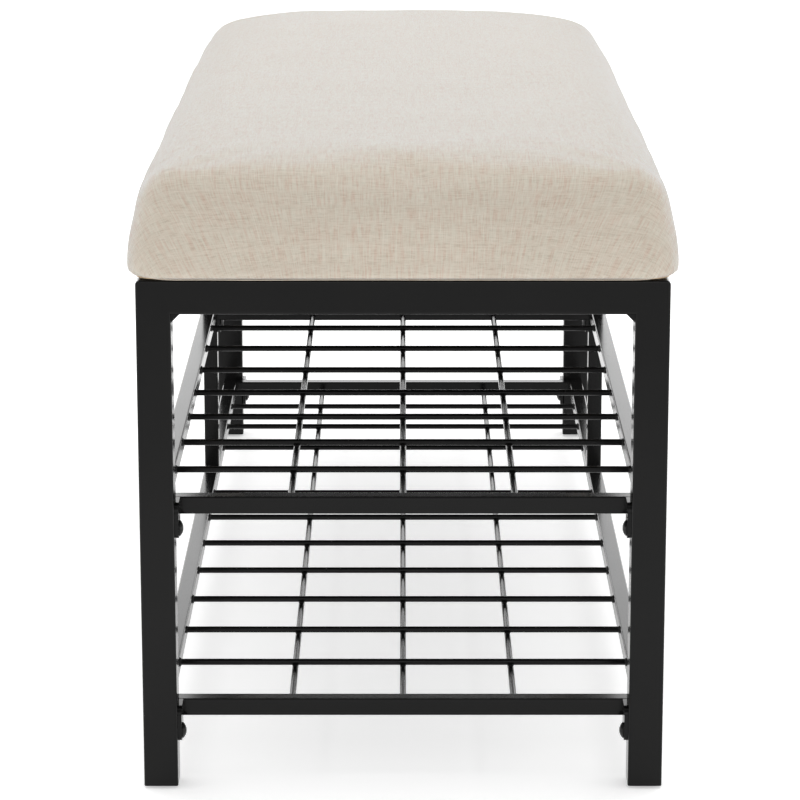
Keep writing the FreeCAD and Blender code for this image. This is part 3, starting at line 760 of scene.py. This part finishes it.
def flat_frame(name, half_length, half_width, height):
    """A flat rectangle in plan."""
    start_clean()
    bpy.ops.mesh.primitive_plane_add(size=2, location=(0, 0, height))
    piece = added(name)
    piece.scale = (half_length, half_width, 1)
    return settle(piece)


def map_flat(piece):
    """Lay the weave straight across a flat piece."""
    layer = piece.data.uv_layers.get("weave") or piece.data.uv_layers.new(name="weave")
    corners = np.zeros(len(piece.data.loops), dtype=int)
    piece.data.loops.foreach_get("vertex_index", corners)
    layer.data.foreach_set("uv", points_of(piece)[corners][:, [1, 0]].ravel())


def build_hem():
    """Linen turned under the board, with a slight ripple."""
    piece = flat_frame("cover_hem", HALF_LENGTH - HEM_EDGE, HALF_WIDTH - HEM_EDGE, SEAT_BOTTOM + 0.0009)
    edit(piece)
    bpy.ops.mesh.select_all(action="SELECT")
    bpy.ops.mesh.bevel(offset=HEM_CORNER, segments=8, affect="VERTICES")
    bpy.ops.mesh.select_all(action="SELECT")
    bpy.ops.mesh.inset(thickness=HALF_WIDTH - HEM_EDGE - HEM_INNER_WIDTH)
    choose(piece, "FACE", lambda face: face.calc_center_median().xy.length < 0.001)
    bpy.ops.mesh.delete(type="FACE")
    bpy.ops.mesh.select_all(action="SELECT")
    bpy.ops.mesh.subdivide(number_cuts=12)
    close(piece)
    points = points_of(piece)
    ripple = np.array([smooth_noise(Vector((x * 45, y * 45, 0))) for x, y, z in points])
    points[:, 2] += HEM_RIPPLE * ripple
    set_points(piece, points)
    modify(piece, "SOLIDIFY", thickness=0.0006, offset=-1)
    map_flat(piece)
    smooth(piece, 50)
    return finish_piece(piece, FINISHES["linen"])


def build_dust_cover():
    """Black cloth stretched over the opening, with shallow pulls between its staples."""
    half_length, half_width = DUST_HIGH.x, DUST_HIGH.y
    piece = flat_frame("dust_sheet", half_length, half_width, DUST_LOW.z + 0.0003)
    edit(piece)
    bpy.ops.mesh.select_all(action="SELECT")
    bpy.ops.mesh.subdivide(number_cuts=60)
    close(piece)
    points = points_of(piece)
    along = np.abs(points[:, 0]) / half_length
    across = np.abs(points[:, 1]) / half_width
    pulls = DUST_PULL * np.cos(2 * math.pi * points[:, 0] / STAPLE_PITCH) * across ** 4
    pulls += DUST_PULL * np.cos(2 * math.pi * points[:, 1] / STAPLE_PITCH) * along ** 8
    slack = DUST_SLACK * np.array([smooth_noise(Vector((x * 7, y * 11, 1))) for x, y, z in points])
    points[:, 2] += pulls + slack * (1 - across ** 4)
    set_points(piece, points)
    modify(piece, "SOLIDIFY", thickness=0.0003, offset=0)
    smooth(piece, 50)
    finish_piece(piece, FINISHES["dust_cloth"])
    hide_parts("dust_cover")


def staple():
    """One staple's crown with its bent ends, lying across Y."""
    half_wire = STAPLE_WIRE / 2
    piece = box("staple", (-half_wire, -STAPLE_HALF, -half_wire), (half_wire, STAPLE_HALF, 0))
    edit(piece)
    choose(piece, "FACE", lambda face: abs(face.normal.y) > 0.9)
    bpy.ops.mesh.extrude_region_shrink_fatten(TRANSFORM_OT_shrink_fatten={"value": STAPLE_BEND})
    tip = STAPLE_HALF + STAPLE_BEND
    choose(piece, "EDGE", lambda edge: all(abs(abs(point.co.y) - tip) < 1e-6 for point in edge.verts)
           and all(point.co.z < -half_wire / 2 for point in edge.verts))
    bpy.ops.transform.translate(value=(0, 0, half_wire))
    close(piece)
    return modify(piece, "BEVEL", width=0.0002, segments=1)


def build_staples():
    """Staples round the dust cover, a hand's width apart and not quite straight."""
    model = staple()
    half_length, half_width = DUST_HIGH.x - STAPLE_IN, DUST_HIGH.y - STAPLE_IN
    height = DUST_LOW.z + 0.0001
    parts, spots = [], []
    count = int(half_length / STAPLE_PITCH)
    for step in range(-count, count + 1):
        for side in (LEFT, RIGHT):
            spots.append((step * STAPLE_PITCH, side * half_width, math.pi / 2))
    count = int(half_width / STAPLE_PITCH)
    for step in range(-count, count + 1):
        for end in (FAR, NEAR):
            spots.append((end * half_length, step * STAPLE_PITCH, 0))
    for x, y, turn in spots:
        crooked = Matrix.Rotation(turn + RNG.uniform(-0.2, 0.2), 4, "Z")
        x += RNG.uniform(-0.004, 0.004)
        y += RNG.uniform(-0.001, 0.001)
        parts.append(copy_to(model, "staple", Matrix.Translation((x, y, height)) @ crooked))
    bpy.data.objects.remove(model)
    piece = join("staples", parts)
    return finish_piece(piece, FINISHES["zinc_steel"])


# Camera and studio.

def build_camera():
    """The camera, level across and tilted a little down."""
    data = bpy.data.cameras.new("camera")
    data.lens = LENS
    data.shift_x = SIDE_SHIFT
    camera = bpy.data.objects.new("camera", data)
    bpy.context.scene.collection.objects.link(camera)
    leg_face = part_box("leg_near_left")[1].x
    camera.location = (leg_face + CAMERA_GAP, 0, CAMERA_HEIGHT)
    camera.rotation_euler = (math.pi / 2 - CAMERA_TILT, 0, math.pi / 2)
    data.clip_end = CAMERA_REACH
    bpy.context.scene.camera = camera


def area_light(name, place, target, size, power):
    """A large soft light that faces a point."""
    data = bpy.data.lights.new(name, "AREA")
    data.shape = "RECTANGLE"
    data.size, data.size_y = size
    data.energy = power
    light = bpy.data.objects.new(name, data)
    bpy.context.scene.collection.objects.link(light)
    light.visible_camera = False
    light.location = place
    light.rotation_euler = (Vector(target) - Vector(place)).to_track_quat("-Z", "Y").to_euler()


def studio_floor():
    """Pale floor with a soft glow of its own round the bench, like a lit table."""
    start_clean()
    bpy.ops.mesh.primitive_plane_add(size=FLOOR_SIZE, location=(0, 0, cad_low.z - 0.0002))
    floor = added("floor")
    finish = Finish("studio_floor", **{"Base Color": colour(0.93, 0.93, 0.93), "Roughness": 0.8,
                                       "Specular IOR Level": 0.1, "Emission Strength": FLOOR_GLOW})
    place = finish.node("ShaderNodeSeparateXYZ", {}, {"Vector": finish.place()})
    pool = finish.node("ShaderNodeMapRange", {"interpolation_type": "SMOOTHSTEP"},
                       {"Value": place.out("X"), 1: GLOW_START, 2: GLOW_END, 3: 0.0, 4: 1.0})
    glow = finish.ramp(pool.out("Result"), [(0.0, 1.0), (1.0, FAR_GLOW)])
    finish.surface_input("Emission Color", glow)
    floor.data.materials.append(finish.material)


def studio_sky():
    """White surroundings: brightest low down behind the bench, dimmer in front."""
    world = bpy.data.worlds.new("studio")
    bpy.context.scene.world = world
    sky = Nodes(world)
    way = sky.node("ShaderNodeTexCoord", {}, {}).out("Generated")
    split = sky.node("ShaderNodeSeparateXYZ", {}, {"Vector": way})
    ahead = sky.ramp(0.5 + 0.5 * split.out("X"), [(0.0, 1.0), (0.5, 0.66), (0.85, 0.46), (1.0, 0.44)])
    low = sky.ramp(split.out("Z").size(), [(0.0, 1.0), (0.3, 0.9), (0.5, 0.42), (0.9, 0.3)])
    strength = ahead * low * SKY
    back = sky.node("ShaderNodeBackground", {}, {"Color": colour(1, 1, 1), "Strength": strength})
    sky.node("ShaderNodeOutputWorld", {}, {"Surface": back.out("Background")})


def build_studio():
    """Pale floor, white surroundings and soft lights."""
    studio_floor()
    studio_sky()
    area_light("overhead", (-0.6, 0, 2.6), (-0.6, 0, 0), (3.2, 3.0), OVERHEAD)
    area_light("front", (4.6, 0.6, 2.4), (0.3, 0, 0.3), (2.4, 1.8), FRONT)
    bpy.context.scene.view_settings.view_transform = "Standard"


build_camera()
build_studio()
paint_frame()
build_cushion()
build_welds()
build_hem()
build_dust_cover()
build_staples()
